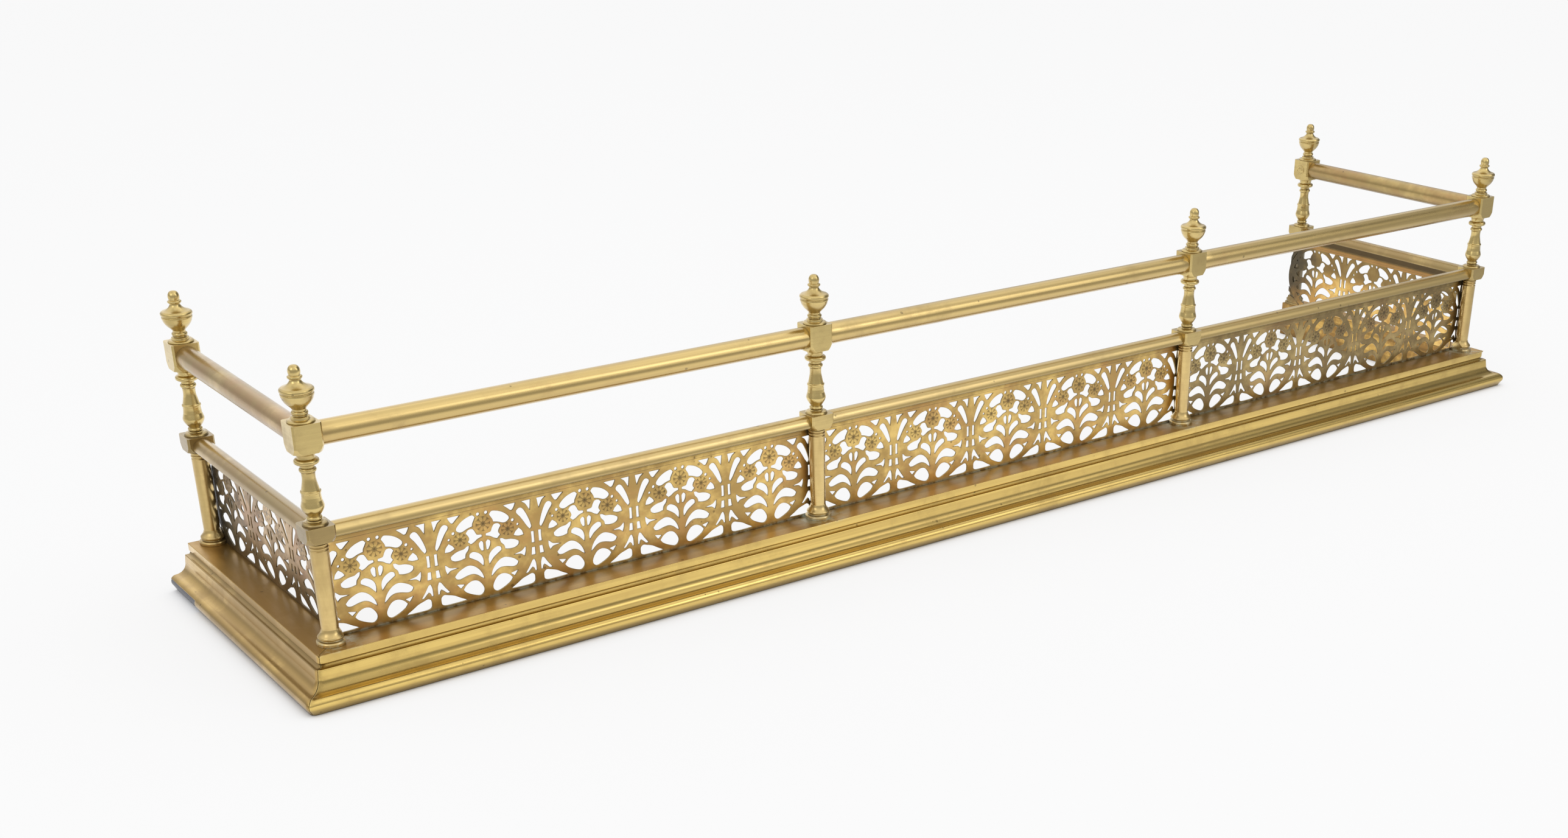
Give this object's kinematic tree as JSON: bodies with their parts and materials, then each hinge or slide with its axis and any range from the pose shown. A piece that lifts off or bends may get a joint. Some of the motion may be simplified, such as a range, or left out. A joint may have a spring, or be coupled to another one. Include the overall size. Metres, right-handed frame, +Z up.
{
  "type": "fire fender",
  "caption": "Three-sided brass hearth fender: turned posts with finials, tubular top rail and pierced floral panels under a rounded cap rail, on a moulded base open at the back.",
  "frame": {"origin": "middle of the footprint, on the floor", "axes": "+X along the front to its right end, -Y out of the front into the room, +Y to the open back at the hearth, +Z up"},
  "size_m": [1.395, 0.3008, 0.251],
  "materials": {
    "brass_turned": "aged polish, dark in the turned grooves",
    "brass_rails": "aged polish, drawn along the rail",
    "brass_pierced": "tarnished sheet with reddish and dark patches",
    "brass_base": "brushed bright on the mouldings, brown and matt on the deck",
    "iron": "dark bare iron",
    "steel": "dull steel"
  },
  "bodies": {
    "root": {"finial_rear_left": "brass_turned", "finial_front_left": "brass_turned", "finial_mid_left": "brass_turned", "finial_mid_right": "brass_turned", "finial_front_right": "brass_turned", "finial_rear_right": "brass_turned", "standard_rear_left": "brass_turned", "standard_front_left": "brass_turned", "standard_mid_left": "brass_turned", "standard_mid_right": "brass_turned", "standard_front_right": "brass_turned", "standard_rear_right": "brass_turned", "leg_rear_left": "brass_turned", "leg_front_left": "brass_turned", "leg_mid_left": "brass_turned", "leg_mid_right": "brass_turned", "leg_front_right": "brass_turned", "leg_rear_right": "brass_turned", "top_rail_front_left": "brass_rails", "top_rail_front_middle": "brass_rails", "top_rail_front_right": "brass_rails", "top_rail_side_left": "brass_rails", "top_rail_side_right": "brass_rails", "cap_rail_front_left": "brass_rails", "cap_rail_front_middle": "brass_rails", "cap_rail_front_right": "brass_rails", "cap_rail_side_left": "brass_rails", "cap_rail_side_right": "brass_rails", "panel_front_left": "brass_pierced", "panel_front_middle": "brass_pierced", "panel_front_right": "brass_pierced", "panel_side_left": "brass_pierced", "panel_side_right": "brass_pierced", "base_moulding_front": "brass_base", "base_moulding_left": "brass_base", "base_moulding_right": "brass_base", "deck_bar_front": "iron", "deck_bar_left": "iron", "deck_bar_right": "iron", "sole_front": "iron", "sole_left": "iron", "sole_right": "iron", "tie_rods": "steel", "tie_nuts": "steel", "tie_washers": "steel", "rail_dowels": "brass_turned", "rail_pins": "steel", "block_plugs": "brass_turned", "sole_pillars": "iron", "sole_screws": "steel"}
  },
  "joints": []
}
